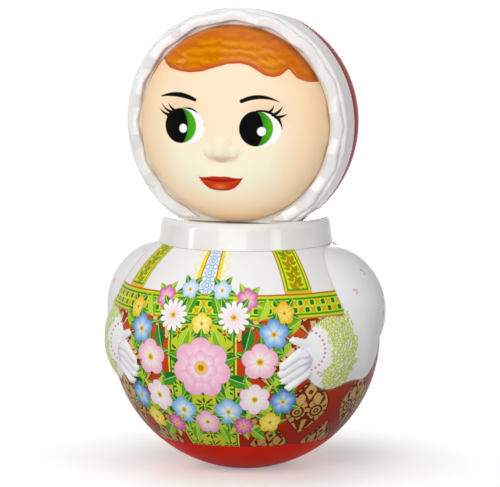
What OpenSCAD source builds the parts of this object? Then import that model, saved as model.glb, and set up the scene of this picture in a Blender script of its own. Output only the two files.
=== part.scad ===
// Roly poly doll: a weighted tumbler with a turning head and a chime inside.
// The doll faces -Y and stands on the flat foot of its bowl, at the origin.

/* [Body] */
// Radius of the round body at its widest level
body_r = 81; // [78:1:90]
// How much wider than the body's round is the flatter round of the shoulders, in radius
shoulder_flat = 6; // [4:0.5:12]
// Wall of the two body halves near their mouths
body_wall = 2.4; // [1.6:0.2:4]
// Height of the joint between the printed body and the bowl
split_h = 20.5; // [15:0.5:24]
// Wall of the red bowl
bowl_wall = 3; // [2:0.2:4]
// Height of the bowl's lip inside the body
lip_h = 5; // [3:0.5:8]
// Radius of the flat foot under the bowl
foot_r = 12; // [8:1:16]

/* [Sleeves] */
// How far the upper sleeve stands out from the body's widest level
sleeve_out = 5.5; // [3:0.5:8]
// How far the sleeve's bell stands out from the body's widest level
bell_out = 5; // [2:0.5:8]
// Thickness of a finger
finger_d = 6; // [5:0.5:8]
// Length of the longest finger
finger_len = 13; // [10:1:18]

/* [Collar] */
// Radius of the collar where it meets the shoulder
collar_r = 52.3; // [48:0.5:56]
// Height of the collar
collar_h = 16; // [13:0.5:20]
// How much the collar draws in toward its top
collar_taper = 1.5; // [0.5:0.25:3]
// Radius of the collar's rounded top edge
collar_round = 5; // [3:0.5:6]
// Wall of the collar
collar_wall = 3; // [2:0.2:4]
// Depth of the dish in the collar's top
dish_depth = 2.5; // [1.5:0.25:4]

/* [Head] */
// Radius of the round head
head_r = 70; // [62:1:78]
// How far the head's round bottom would dip below the collar's top
head_sink = 12.7; // [9:0.5:16]
// How far the head's centre stands in front of the turning axis
head_forward = 7; // [3:0.5:9]
// Wall of the head's shells
head_wall = 2; // [1.4:0.2:3]
// How far the bonnet's front edge stands in front of the head's centre
bonnet_front_y = 11; // [8:0.5:14]
// How far the bonnet's seam lies behind the head's centre
bonnet_seam_y = 3; // [1:0.5:6]
// Width from the head's round to the edge of the face
rim_w = 11.2; // [9:0.2:14]
// Depth of the face from the bonnet's front edge to its foremost point
face_depth = 27; // [20:0.5:32]
// Thickness of the raised hair
hair_t = 2; // [1:0.2:3]

/* [Frill] */
// Number of pleats round the face
pleat_count = 16; // [10:1:24]
// Mean width of the frill
frill_w = 6.6; // [4:0.2:8]
// Thickness of the frill
frill_t = 4; // [3:0.25:6]
// How far a pleat swings out and in
pleat_wave = 1.4; // [0.5:0.1:2]

/* [Neck] */
// Radius of the turning stem
neck_r = 14; // [10:0.5:17]
// Length of the stem below the head
neck_len = 16; // [12:1:22]
// Thickness of the stem's flange inside the head
flange_t = 3; // [2:0.25:5]
// Thickness of the snap ring
clip_t = 1.6; // [1:0.1:2.5]
// Width of the snap ring
clip_w = 5; // [3:0.5:7]

/* [Weight] */
// Radius of the iron weight
weight_r = 36; // [28:1:40]
// Height of the iron weight
weight_h = 22; // [16:1:28]
// Radius of the weight's flat underside
weight_foot_r = 24; // [20:1:26]
// Diameter of the weight screws
screw_d = 4; // [3:0.5:5]
// Radius of the circle that the screws lie on
screw_circle_r = 16; // [13:0.5:18]
// Depth of the screws in the bowl's floor
screw_bite = 3.6; // [2:0.2:4]

/* [Chime] */
// How far the chime's base disc stays inside the weight's edge
chime_inset = 7; // [4:0.5:9]
// Thickness of the chime's base disc
chime_t = 5; // [4:0.5:8]
// Diameter of the chime's post
post_d = 8; // [6:0.5:9]
// Height of the hammer pins above the chime's base
pivot_h = 50; // [44:1:60]
// Distance of the hammer pins from the post's axis
pivot_r = 12; // [11:0.5:14]
// Length of a hammer from its pin to the middle of its ball
hammer_len = 32; // [26:1:38]
// Diameter of a hammer's ball
ball_d = 8; // [6:0.5:9]
// Diameter of the hammer pins
pin_d = 2; // [1.5:0.1:2.5]
// Diameter of the tone rods
rod_d = 2.4; // [1.8:0.2:3.2]
// How far the tone rods stand inside the base disc's edge
rod_inset = 5; // [4:0.5:6]
// Height of the shortest tone rod above the base
rod_h = 34; // [28:1:40]
// How much longer each further tone rod is
rod_step = 4; // [1:0.5:6]

/* [Hidden] */

$fn = 96;
// Clearances: fixed fit, running fit, gap under the turning head, play beside a hammer
fit_gap = 0.15;
run_gap = 0.05;
turn_gap = 0.3;
side_gap = 0.2;
// Overrun of every cut
over = 1;

// Levels of the body; the shoulders stop at a share of the height where the body is as wide as the collar
shoulder_share = 0.9136;
centre_h = sqrt(pow(body_r, 2) - pow(foot_r, 2));
collar_z = centre_h + shoulder_share * sqrt(pow(body_r, 2) - pow(collar_r, 2));
shoulder_r = body_r + shoulder_flat;
shoulder_z = collar_z - sqrt(pow(shoulder_r, 2) - pow(collar_r, 2));
floor_h = centre_h - sqrt(pow(body_r - bowl_wall, 2) - pow(weight_foot_r, 2));

// The round room inside the body, a little below its middle, and its mouths at the collar and the bowl
room_wall_share = 1.5;
room_drop_share = 0.037;
room_r = body_r - body_wall * room_wall_share;
room_z = centre_h - body_r * room_drop_share;
neck_mouth_r = sqrt(pow(room_r, 2) - pow(collar_z - room_z, 2));
body_mouth_r = sqrt(pow(room_r, 2) - pow(room_z - split_h, 2));

// Levels of the collar
collar_top = collar_z + collar_h;
collar_rim_r = collar_r - collar_taper - collar_round;
dish_z = collar_top - dish_depth;
dish_r = collar_rim_r - 2 * dish_depth;

// Levels of the head
head_z = collar_top - head_sink + head_r;
head_y = -head_forward;
face_r = head_r - rim_w;
frill_in_r = face_r + pleat_wave + fit_gap;
frill_y = head_y - bonnet_front_y;
bonnet_inner_r = head_r - head_wall;
stem_bottom = dish_z + turn_gap - neck_len;
clip_z = dish_z - collar_wall - turn_gap - clip_t;

// Levels of the weight and the chime
weight_top = floor_h + weight_h;
weight_side_h = centre_h - sqrt(pow(body_r - bowl_wall - turn_gap, 2) - pow(weight_r, 2));
chime_top = weight_top + chime_t;
chime_r = weight_r - chime_inset;
rod_r = chime_r - rod_inset;
pivot_z = chime_top + pivot_h;

// Sleeve and hand: turns round the body from the front in degrees, and shares of the body's radius
sleeve_turn = 90;
sleeve_level_share = 0.205;
sleeve_size_share = 0.5;
bell_turns = [59, 80];
bell_level_shares = [-0.02, 0];
bell_size_share = 0.42;
wrist_turn = 50;
wrist_level_share = 0.02;
palm_turn = 44;
palm_level_share = -0.06;
palm_size_share = 0.13;
knuckle_turns = [42, 42, 43, 45];
knuckle_level_shares = [-0.01, -0.07, -0.12, -0.16];
finger_turns = [36, 34.5, 34.5, 37];
finger_level_shares = [-0.08, -0.15, -0.21, -0.26];
thumb_turn = 39;
thumb_level_share = 0.09;
finger_sink_share = 0.1;

// Face: places and sizes as shares of the face's radius
face_edge_share = 0.27;
nose_level_share = -0.22;
nose_size_share = 0.14;
nose_sink_share = 0.05;
bridge_level_share = 0.05;
bridge_size_share = 0.07;
lip_size_share = 0.05;
upper_lip_level_share = -0.505;
lower_lip_level_share = -0.575;
mouth_half_share = 0.2;
lower_lip_half_share = 0.1;
chin_level_share = -0.72;
chin_size_share = 0.18;
chin_sink_share = 0.13;
// Hair: lobes of the fringe as middle across, middle up and radius, and the level of its straight part
hair_line_share = 0.66;
hair_lobe_shares = [[-0.87, 0.62, 0.14], [-0.36, 0.89, 0.35], [0.5, 0.76, 0.22], [0.805, 0.665, 0.175]];

// Small sizes of the chime and the fasteners
eye_r = 3;
eye_w = 3;
arm_d = 1.8;
lug_t = 2;
lug_r = 3;
hub_h = 6;
hub_r = 8;
socket_floor = 1;
screw_head_r = 3.8;
screw_head_h = 2.6;
post_bite = 8;
groove_depth = 1.5;

// Frill: points round each pleat, and its section as shares of the frill's width and thickness
pleat_steps = 8;
frill_steps = pleat_count * pleat_steps;
frill_section_shares = [[0, 0], [0, 0.75], [0.3, 1], [0.75, 0.95], [1, 0.6], [1, 0]];
frill_front_share = 0.35;

// Body
module body_round(inset) {
    translate([0, 0, centre_h]) sphere(r = body_r - inset);
}

module body_outside() {
    intersection() {
        body_round(0);
        translate([0, 0, shoulder_z]) sphere(r = shoulder_r);
        translate([0, 0, split_h]) cylinder(r = 2 * body_r, h = collar_z - split_h);
    }
}

// A point by its turn from the front, its level and its distance from the axis
function place(turn, level, distance) = [distance * sin(turn), -distance * cos(turn), level];

// A rod with round ends between two points
module round_rod(a, b, r) {
    run = b - a;
    length = norm(run);
    translate(a) rotate([0, acos(run[2] / length), atan2(run[1], run[0])]) rotate_extrude() {
        square([r, length]);
        for (end = [0, length]) intersection() {
            translate([0, end]) circle(r = r);
            translate([0, end - r]) square([r, 2 * r]);
        }
    }
}

module sleeve() {
    sleeve_size = body_r * sleeve_size_share;
    bell_size = body_r * bell_size_share;
    translate(place(sleeve_turn, centre_h + body_r * sleeve_level_share, body_r + sleeve_out - sleeve_size))
        sphere(r = sleeve_size);
    round_rod(place(bell_turns[0], centre_h + body_r * bell_level_shares[0], body_r + bell_out - bell_size),
        place(bell_turns[1], centre_h + body_r * bell_level_shares[1], body_r + bell_out - bell_size), bell_size);
}

module hand() {
    palm_size = body_r * palm_size_share;
    palm_far = body_r + finger_d / 2 - palm_size;
    finger_far = body_r - finger_d * finger_sink_share;
    wrist_level = centre_h + body_r * wrist_level_share;
    round_rod(place(wrist_turn, wrist_level, palm_far),
        place(palm_turn, centre_h + body_r * palm_level_share, palm_far), palm_size);
    for (i = [0 : len(finger_turns) - 1]) {
        knuckle = place(knuckle_turns[i], centre_h + body_r * knuckle_level_shares[i], finger_far);
        aim = place(finger_turns[i], centre_h + body_r * finger_level_shares[i], finger_far) - knuckle;
        round_rod(knuckle, knuckle + aim * finger_len / norm(aim), finger_d / 2);
    }
    round_rod(place(wrist_turn, wrist_level, finger_far),
        place(thumb_turn, centre_h + body_r * thumb_level_share, finger_far), finger_d / 2);
}

module arms() {
    for (side = [0, 1]) mirror([side, 0, 0]) {
        sleeve();
        hand();
    }
}

module body_shell() {
    difference() {
        union() {
            body_outside();
            intersection() {
                arms();
                cylinder(r = 2 * body_r, h = collar_z);
            }
        }
        translate([0, 0, room_z]) sphere(r = room_r);
    }
}

module half_space(side) {
    reach = 2 * (body_r + sleeve_out + bell_out);
    translate([-reach, side > 0 ? 0 : -reach, 0]) cube([2 * reach, reach, 2 * reach]);
}

module body_front() {
    color("white") intersection() {
        body_shell();
        half_space(-1);
    }
}

module body_back() {
    color("firebrick") intersection() {
        body_shell();
        half_space(1);
    }
}

module base_bowl() {
    lip_r = body_mouth_r - fit_gap;
    color("red") difference() {
        union() {
            intersection() {
                body_round(0);
                cylinder(r = body_r, h = split_h);
            }
            translate([0, 0, split_h - bowl_wall / 2]) cylinder(r = lip_r, h = lip_h + bowl_wall / 2);
        }
        intersection() {
            body_round(bowl_wall);
            translate([0, 0, floor_h]) cylinder(r = body_r, h = split_h - floor_h);
        }
        translate([0, 0, split_h - bowl_wall]) cylinder(r = lip_r - bowl_wall, h = lip_h + bowl_wall + over);
        screw_places() translate([0, 0, floor_h - screw_bite]) cylinder(d = screw_d + run_gap, h = screw_bite + over);
    }
}

// Collar
module collar_outline() {
    top_r = collar_r - collar_taper;
    difference() {
        union() {
            polygon([[0, collar_z], [collar_r, collar_z], [top_r, collar_top - collar_round],
                [collar_rim_r, collar_top], [0, collar_top]]);
            translate([collar_rim_r, collar_top - collar_round]) circle(r = collar_round);
        }
        polygon([[0, dish_z], [dish_r, dish_z], [collar_rim_r, collar_top], [collar_rim_r, collar_top + over],
            [0, collar_top + over]]);
        translate([0, collar_z - over]) square([neck_mouth_r - fit_gap - collar_wall, dish_z - collar_wall - collar_z + over]);
    }
    translate([neck_mouth_r - fit_gap - collar_wall, collar_z - lip_h]) square([collar_wall, lip_h]);
}

module collar() {
    color("whitesmoke") difference() {
        rotate_extrude() collar_outline();
        translate([0, 0, stem_bottom]) cylinder(r = neck_r + run_gap, h = neck_len + collar_h);
    }
}

// Head
module head_place() {
    translate([0, head_y, head_z]) children();
}

// What the collar needs clear of the turning head
module collar_room() {
    far = 2 * head_r;
    rotate_extrude() polygon([[0, 0], [0, dish_z + turn_gap], [dish_r, dish_z + turn_gap],
        [collar_rim_r, collar_top + turn_gap], [far, collar_top + turn_gap], [far, 0]]);
}

// A slab of the head between two distances in front of its centre
module head_slab(front, back) {
    reach = 2 * head_r;
    translate([-reach, -front, -reach]) cube([2 * reach, front + back, 2 * reach]);
}

module bonnet_back() {
    color("darkred") difference() {
        head_place() intersection() {
            difference() {
                sphere(r = head_r);
                sphere(r = bonnet_inner_r);
            }
            head_slab(-bonnet_seam_y, 2 * head_r);
        }
        collar_room();
    }
}

module bonnet_front() {
    color("white") difference() {
        head_place() difference() {
            intersection() {
                sphere(r = head_r);
                head_slab(bonnet_front_y, bonnet_seam_y);
            }
            intersection() {
                sphere(r = bonnet_inner_r);
                head_slab(bonnet_front_y - head_wall, head_r);
            }
            rotate([90, 0, 0]) cylinder(r = face_r + fit_gap, h = head_r);
        }
        collar_room();
    }
}

// Frill: a ring of pleats that swing out and in and forward and back
function frill_point(i, k) =
    let (turn = 360 * i / frill_steps,
        swing = pleat_wave * sin(turn * pleat_count),
        lift = pleat_wave * frill_front_share * cos(turn * pleat_count),
        share = frill_section_shares[k],
        r = frill_in_r + frill_w * share[0] + swing,
        y = -frill_t * share[1] - (share[1] > 0 ? lift : 0))
    [r * cos(turn), y, r * sin(turn)];

module frill_ring() {
    sides = len(frill_section_shares);
    points = [for (i = [0 : frill_steps - 1], k = [0 : sides - 1]) frill_point(i, k)];
    faces = [for (i = [0 : frill_steps - 1], k = [0 : sides - 1], half = [0, 1])
        let (a = i * sides + k,
            b = i * sides + (k + 1) % sides,
            c = ((i + 1) % frill_steps) * sides + k,
            d = ((i + 1) % frill_steps) * sides + (k + 1) % sides)
        half == 0 ? [a, c, b] : [b, c, d]];
    polyhedron(points, faces);
}

module bonnet_frill() {
    color("white") difference() {
        translate([0, frill_y, head_z]) frill_ring();
        translate([-head_r, -head_r, 0]) cube([2 * head_r, 2 * head_r, collar_top + turn_gap]);
    }
}

// Face
// The dome has a wide crown arc that runs into a tighter arc at its edge
module face_dome(grow) {
    wide = face_r + grow;
    deep = face_depth + grow;
    edge_r = face_r * face_edge_share;
    edge_x = wide - edge_r;
    crown_r = (pow(edge_x, 2) + pow(deep, 2) - pow(edge_r, 2)) / (2 * (deep - edge_r));
    join_x = edge_x * crown_r / (crown_r - edge_r);
    rotate([90, 0, 0]) rotate_extrude() {
        intersection() {
            translate([0, deep - crown_r]) circle(r = crown_r);
            square([join_x, deep]);
        }
        intersection() {
            translate([edge_x, 0]) circle(r = edge_r);
            translate([join_x, 0]) square([edge_r, edge_r]);
        }
    }
}

// Depth of the dome's crown at a level
function crown_depth(level) =
    let (edge_r = face_r * face_edge_share,
        crown_r = (pow(face_r - edge_r, 2) + pow(face_depth, 2) - pow(edge_r, 2)) / (2 * (face_depth - edge_r)))
    face_depth - crown_r + sqrt(pow(crown_r, 2) - pow(level, 2));

function on_face(across, level, sink) = [across, sink - crown_depth(norm([across, level])), level];

module nose() {
    tip = on_face(0, face_r * nose_level_share, face_r * nose_sink_share);
    bridge = on_face(0, face_r * bridge_level_share, face_r * bridge_size_share);
    translate(tip) sphere(r = face_r * nose_size_share);
    round_rod(tip, bridge, face_r * bridge_size_share);
}

module lip(level, half, sink) {
    round_rod(on_face(-half, level, sink), on_face(half, level, sink), face_r * lip_size_share);
}

module lips() {
    lip(face_r * upper_lip_level_share, face_r * mouth_half_share, face_r * lip_size_share / 2);
    lip(face_r * lower_lip_level_share, face_r * lower_lip_half_share, face_r * lip_size_share / 4);
}

module chin() {
    translate(on_face(0, face_r * chin_level_share, face_r * chin_sink_share)) sphere(r = face_r * chin_size_share);
}

module hair_outline() {
    intersection() {
        circle(r = face_r - fit_gap);
        union() {
            translate([-face_r, face_r * hair_line_share]) square([2 * face_r, face_r]);
            for (lobe = hair_lobe_shares)
                translate([face_r * lobe[0], face_r * lobe[1]]) circle(r = face_r * lobe[2]);
        }
    }
}

module face_front() {
    intersection() {
        union() {
            face_dome(0);
            nose();
            lips();
            chin();
            intersection() {
                face_dome(hair_t);
                rotate([90, 0, 0]) linear_extrude(height = head_r) hair_outline();
            }
        }
        translate([-head_r, -2 * head_r, -head_r]) cube([2 * head_r, 2 * head_r, 2 * head_r]);
    }
}

module face_shell() {
    ring_r = sqrt(pow(bonnet_inner_r - fit_gap, 2) - pow(bonnet_front_y - head_wall, 2));
    color("peachpuff") difference() {
        translate([0, frill_y, head_z]) {
            difference() {
                face_front();
                face_dome(-head_wall);
            }
            difference() {
                rotate([-90, 0, 0]) union() {
                    cylinder(r = face_r, h = head_wall);
                    translate([0, 0, head_wall]) cylinder(r = ring_r - head_wall, h = head_wall);
                }
                rotate([-90, 0, 0]) translate([0, 0, -over]) cylinder(r = face_r - head_wall, h = 2 * head_wall + 2 * over);
            }
        }
        collar_room();
    }
}

// Neck
module neck_stem() {
    plate_r = bonnet_inner_r - fit_gap;
    plate_front = bonnet_front_y - 2 * head_wall - fit_gap;
    plate_z = dish_z + turn_gap;
    color("white") difference() {
        union() {
            translate([0, 0, stem_bottom]) cylinder(r = neck_r, h = neck_len + flange_t);
            intersection() {
                head_place() sphere(r = plate_r);
                translate([-head_r, -head_r, plate_z]) cube([2 * head_r, 2 * head_r, flange_t]);
            }
        }
        translate([-head_r, head_y - plate_front - head_r, plate_z]) cube([2 * head_r, head_r, head_r]);
        translate([0, 0, clip_z]) rotate_extrude() translate([neck_r - groove_depth, 0])
            square([groove_depth + over, clip_t + fit_gap]);
        translate([0, 0, stem_bottom - over]) cylinder(r = neck_r - groove_depth - head_wall, h = neck_len + over);
    }
}

module neck_clip() {
    color("silver") translate([0, 0, clip_z]) difference() {
        cylinder(r = neck_r - groove_depth + clip_w, h = clip_t);
        translate([0, 0, -over]) cylinder(r = neck_r - groove_depth + fit_gap, h = clip_t + 2 * over);
        translate([-neck_r / 2, 0, -over]) cube([neck_r, neck_r + clip_w, clip_t + 2 * over]);
    }
}

// Weight
module screw_places() {
    for (turn = [45 : 90 : 315]) rotate([0, 0, turn]) translate([screw_circle_r, 0, 0]) children();
}

module counterweight() {
    color("dimgray") difference() {
        rotate_extrude() polygon([[0, floor_h], [weight_foot_r - fit_gap, floor_h], [weight_r, weight_side_h],
            [weight_r, weight_top], [0, weight_top]]);
        screw_places() translate([0, 0, floor_h - over]) cylinder(d = screw_d + 2 * fit_gap, h = weight_h + 2 * over);
        translate([0, 0, weight_top - post_bite]) cylinder(d = post_d + 2 * run_gap, h = post_bite + over);
    }
}

module weight_screws() {
    color("silver") screw_places() {
        translate([0, 0, floor_h - screw_bite]) cylinder(d = screw_d, h = weight_h + screw_bite + screw_head_h);
        translate([0, 0, weight_top]) cylinder(r = screw_head_r, h = screw_head_h);
    }
}

// Chime
module chime_places() {
    for (turn = [0 : 90 : 270]) rotate([0, 0, turn]) children();
}

module chime_base() {
    color("ivory") difference() {
        translate([0, 0, weight_top]) cylinder(r = chime_r, h = chime_t);
        screw_places() translate([0, 0, weight_top - over]) cylinder(r = screw_head_r + side_gap, h = chime_t + 2 * over);
        translate([0, 0, weight_top - over]) cylinder(d = post_d + 2 * run_gap, h = chime_t + 2 * over);
        chime_places() translate([rod_r, 0, weight_top + socket_floor]) cylinder(d = rod_d, h = chime_t);
    }
}

module lug_pair() {
    for (side = [-1, 1]) translate([0, side * (eye_w / 2 + side_gap + lug_t / 2), 0]) rotate([90, 0, 0])
        translate([0, 0, -lug_t / 2]) difference() {
            union() {
                translate([0, -lug_r, 0]) cube([pivot_r, 2 * lug_r, lug_t]);
                translate([pivot_r, 0, 0]) cylinder(r = lug_r, h = lug_t);
            }
            translate([pivot_r, 0, -over]) cylinder(d = pin_d, h = lug_t + 2 * over);
        }
}

module chime_post() {
    color("ivory") union() {
        translate([0, 0, weight_top - post_bite]) cylinder(d = post_d, h = pivot_z - weight_top + post_bite);
        translate([0, 0, pivot_z - hub_h / 2]) cylinder(r = hub_r, h = hub_h);
        translate([0, 0, pivot_z]) chime_places() lug_pair();
    }
}

module tone_rod(index) {
    color("silver") rotate([0, 0, 90 * (index - 1)]) translate([rod_r, 0, weight_top + socket_floor])
        cylinder(d = rod_d, h = chime_t - socket_floor + rod_h + rod_step * (index - 1));
}

module hammer_pins() {
    pin_len = eye_w + 2 * side_gap + 2 * lug_t;
    color("silver") chime_places() translate([pivot_r, pin_len / 2, pivot_z]) rotate([90, 0, 0])
        cylinder(d = pin_d, h = pin_len);
}

module hammer(index) {
    color("gold") rotate([0, 0, 90 * (index - 1)]) translate([pivot_r, 0, pivot_z]) difference() {
        union() {
            translate([0, eye_w / 2, 0]) rotate([90, 0, 0]) cylinder(r = eye_r, h = eye_w);
            translate([0, 0, -hammer_len]) cylinder(d = arm_d, h = hammer_len);
            translate([0, 0, -hammer_len]) sphere(d = ball_d);
        }
        translate([0, eye_w / 2 + over, 0]) rotate([90, 0, 0]) cylinder(d = pin_d + 2 * run_gap, h = eye_w + 2 * over);
    }
}

face_shell();
bonnet_frill();
bonnet_front();
bonnet_back();
neck_stem();
neck_clip();
collar();
body_front();
body_back();
base_bowl();
counterweight();
weight_screws();
chime_base();
chime_post();
tone_rod(1);  // tone_rod_1
tone_rod(2);  // tone_rod_2
tone_rod(3);  // tone_rod_3
tone_rod(4);  // tone_rod_4
hammer_pins();
hammer(1);  // hammer_1
hammer(2);  // hammer_2
hammer(3);  // hammer_3
hammer(4);  // hammer_4
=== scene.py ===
import math
import bmesh
import bpy
import numpy as np
from mathutils import Matrix, Vector


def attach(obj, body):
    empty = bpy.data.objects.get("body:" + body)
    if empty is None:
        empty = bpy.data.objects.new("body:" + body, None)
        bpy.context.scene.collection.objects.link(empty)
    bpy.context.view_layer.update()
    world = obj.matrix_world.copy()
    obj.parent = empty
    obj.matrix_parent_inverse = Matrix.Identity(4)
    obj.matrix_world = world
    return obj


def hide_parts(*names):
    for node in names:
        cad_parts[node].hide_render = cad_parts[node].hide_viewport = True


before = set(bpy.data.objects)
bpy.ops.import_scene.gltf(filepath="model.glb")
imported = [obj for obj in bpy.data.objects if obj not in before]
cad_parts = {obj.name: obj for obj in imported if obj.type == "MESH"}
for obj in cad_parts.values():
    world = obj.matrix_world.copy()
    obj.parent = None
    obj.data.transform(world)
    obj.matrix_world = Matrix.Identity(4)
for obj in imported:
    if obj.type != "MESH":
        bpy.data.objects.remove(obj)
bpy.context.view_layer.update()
mm = 0.001
print("frame loaded")

# main sizes of the doll in mm, as in its solids
doll = {
    "bodyR": 81, "footR": 12, "shoulderFlat": 6, "shoulderShare": 0.9136, "split": 20.5,
    "collarR": 52.3, "collarH": 16, "collarTaper": 1.5, "collarRound": 5, "dishDepth": 2.5,
    "headR": 70, "headSink": 12.7, "headForward": 7, "headWall": 2, "frontY": 11, "seamY": 3,
    "rimW": 11.2, "faceDepth": 27, "turnGap": 0.3, "bowlWall": 3, "roomWall": 3.6, "roomDropShare": 0.037,
}
centreH = math.sqrt(doll["bodyR"] ** 2 - doll["footR"] ** 2)
collarZ = centreH + doll["shoulderShare"] * math.sqrt(doll["bodyR"] ** 2 - doll["collarR"] ** 2)
shoulderR = doll["bodyR"] + doll["shoulderFlat"]
shoulderZ = collarZ - math.sqrt(shoulderR ** 2 - doll["collarR"] ** 2)
roomR = doll["bodyR"] - doll["roomWall"]
roomZ = centreH - doll["bodyR"] * doll["roomDropShare"]
collarTop = collarZ + doll["collarH"]
rimR = doll["collarR"] - doll["collarTaper"] - doll["collarRound"]
dishZ = collarTop - doll["dishDepth"]
dishR = rimR - 2 * doll["dishDepth"]
headZ = collarTop - doll["headSink"] + doll["headR"]
headY = -doll["headForward"]
faceR = doll["headR"] - doll["rimW"]
faceY = headY - doll["frontY"]


# shader maths on sockets
class Sock:
    made = {}

    def __init__(self, tree, out):
        self.tree = tree
        self.out = out
        self.label = f"{tree.as_pointer()} {out.node.name} {out.identifier}"

    def add(self, kind, settings, inputs, take=0):  # a node like one made before is not made again
        fed = [(key, value.label if isinstance(value, Sock) else repr(value))
               for key, value in inputs.items()]
        label = repr((self.tree.as_pointer(), kind, settings, fed, take))
        if label not in Sock.made:
            Sock.made[label] = self.newNode(kind, settings, inputs, take)
        return Sock.made[label]

    def newNode(self, kind, settings, inputs, take):
        node = self.tree.nodes.new(kind)
        for key, value in settings.items():
            setattr(node, key, value)
        for key, value in inputs.items():
            if isinstance(value, Sock):
                self.tree.links.new(value.out, node.inputs[key])
            else:
                node.inputs[key].default_value = value
        return Sock(self.tree, node.outputs[take])

    def calc(self, operation, *others):
        return self.add("ShaderNodeMath", {"operation": operation}, dict(enumerate((self,) + others)))

    def __add__(self, other):
        return self.calc("ADD", other)

    __radd__ = __add__

    def __sub__(self, other):
        return self.calc("SUBTRACT", other)

    def __rsub__(self, other):
        return self.add("ShaderNodeMath", {"operation": "SUBTRACT"}, {0: other, 1: self})

    def __mul__(self, other):
        return self.calc("MULTIPLY", other)

    __rmul__ = __mul__

    def __truediv__(self, other):
        return self.calc("DIVIDE", other)

    def __neg__(self):
        return self * -1

    def __abs__(self):
        return self.calc("ABSOLUTE")

    def least(self, other):
        return self.calc("MINIMUM", other)

    def most(self, other):
        return self.calc("MAXIMUM", other)

    def soft(self, width=0.12):  # mask from a distance in mm, 1 where it is positive
        return self.add("ShaderNodeClamp", {}, {0: self.calc("MULTIPLY_ADD", 0.5 / width, 0.5)})

    def repeat(self, period):
        return self.calc("WRAP", period / 2, -period / 2)

    def between(self, low, high, width=0.12):
        return (self - low).least(high - self).soft(width)

    def ease(self, low, high):
        settings = {"interpolation_type": "SMOOTHSTEP", "clamp": False}
        return self.add("ShaderNodeMapRange", settings, {0: self, 1: low, 2: high})

    def over(self, mask, paint):  # paint this colour over with another
        settings = {"data_type": "RGBA"}
        return self.add("ShaderNodeMix", settings, {0: mask, 6: self, 7: paint}, 2)


def ink(code):  # linear colour from a screen colour code
    parts = [int(code[i:i + 2], 16) / 255 for i in (0, 2, 4)]
    return tuple(p / 12.92 if p < 0.04045 else ((p + 0.055) / 1.055) ** 2.4 for p in parts) + (1.0,)


def newFinish(name, **fixed):
    finish = bpy.data.materials.new(name)
    finish.use_nodes = True
    tree = finish.node_tree
    shader = tree.nodes["Principled BSDF"]
    for key, value in fixed.items():
        shader.inputs[key.replace("_", " ")].default_value = value
    place = Sock(tree, tree.nodes.new("ShaderNodeTexCoord").outputs["Object"])
    return finish, shader, place


def feed(place, shader, **sockets):
    for key, value in sockets.items():
        place.tree.links.new(value.out, shader.inputs[key.replace("_", " ")])


def axesOf(place):  # x, y and z in mm
    parts = place.add("ShaderNodeSeparateXYZ", {}, {0: place})
    node = parts.out.node
    return [Sock(place.tree, node.outputs[i]) * 1000 for i in range(3)]


def lengthOf(a, b):
    return (a * a + b * b).calc("SQRT")


def arcFrom(degrees, middle, reach):  # mm round the doll from one turn
    return (degrees - middle) * (math.pi / 180) * reach


def pointValue(place, name):  # a value kept on the mesh's points
    return place.add("ShaderNodeAttribute", {"attribute_name": name}, {}, 2)


def noise(place, scale, detail=2.0, rough=0.5):
    inputs = {"Vector": place, "Scale": scale, "Detail": detail, "Roughness": rough}
    return place.add("ShaderNodeTexNoise", {}, inputs)


def colourFrom(place, value, low, high):
    settings = {"data_type": "RGBA"}
    return place.add("ShaderNodeMix", settings, {0: value, 6: low, 7: high}, 2)


def grain(place, shader, scale, strength, reach):
    inputs = {"Strength": strength, "Distance": reach, "Height": noise(place, scale, 3.0)}
    feed(place, shader, Normal=place.add("ShaderNodeBump", {}, inputs))


# moulded plastic: faint cloudiness in the colour, soft sheen changes and a very fine skin
def plasticFinish(name, tint, shade, roughness, sheen=0.5, polish=None):
    finish, shader, place = newFinish(name, Specular_IOR_Level=sheen, Coat_Roughness=0.1)
    cloud = noise(place, 38.0, 3.0)
    scuff = noise(place, 420.0, 4.0, 0.65)
    feed(place, shader, Base_Color=colourFrom(place, cloud.ease(0.3, 0.75), ink(shade), ink(tint)))
    feed(place, shader, Roughness=scuff * 0.08 + (roughness - 0.04))
    grain(place, shader, 600.0, 0.02, 0.0001)
    if polish:  # shinier from one depth to another
        feed(place, shader, Coat_Weight=axesOf(place)[1].ease(*polish))
    return finish


def metalFinish(name, tint, shade, roughness, scale, relief):
    finish, shader, place = newFinish(name, Metallic=1.0)
    cloud = noise(place, scale, 5.0, 0.6)
    feed(place, shader, Base_Color=colourFrom(place, cloud.ease(0.3, 0.7), ink(shade), ink(tint)))
    feed(place, shader, Roughness=cloud * 0.25 + (roughness - 0.12))
    grain(place, shader, scale * 6, relief, 0.0004)
    return finish


# meshes
def arcPoints(across, up, radius, start, stop, count):
    turns = np.radians(np.linspace(start, stop, count))
    return [(across + radius * math.cos(t), up + radius * math.sin(t)) for t in turns]


def spun(section, steps, upright=True):  # a closed section turned round the doll's or the head's axis
    bm = bmesh.new()
    if upright:
        verts = [bm.verts.new((r * mm, 0, z * mm)) for r, z in section]
        centre, axis = (0, 0, 0), (0, 0, 1)
    else:
        verts = [bm.verts.new((r * mm, -d * mm, headZ * mm)) for r, d in section]
        centre, axis = (0, 0, headZ * mm), (0, 1, 0)
    edges = [bm.edges.new(pair) for pair in zip(verts, verts[1:] + verts[:1])]
    bmesh.ops.spin(bm, geom=verts + edges, cent=centre, axis=axis, dvec=(0, 0, 0),
                   angle=math.tau, steps=steps, use_merge=True)
    bmesh.ops.remove_doubles(bm, verts=bm.verts, dist=1e-7)
    bmesh.ops.dissolve_degenerate(bm, edges=bm.edges, dist=1e-8)
    return bm


def evenPoints(across, up, count):  # points at even steps along a line
    length = np.concatenate([[0], np.cumsum(np.hypot(np.diff(across), np.diff(up)))])
    even = np.linspace(0, length[-1], count)
    return np.interp(even, length, across), np.interp(even, length, up)


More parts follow.
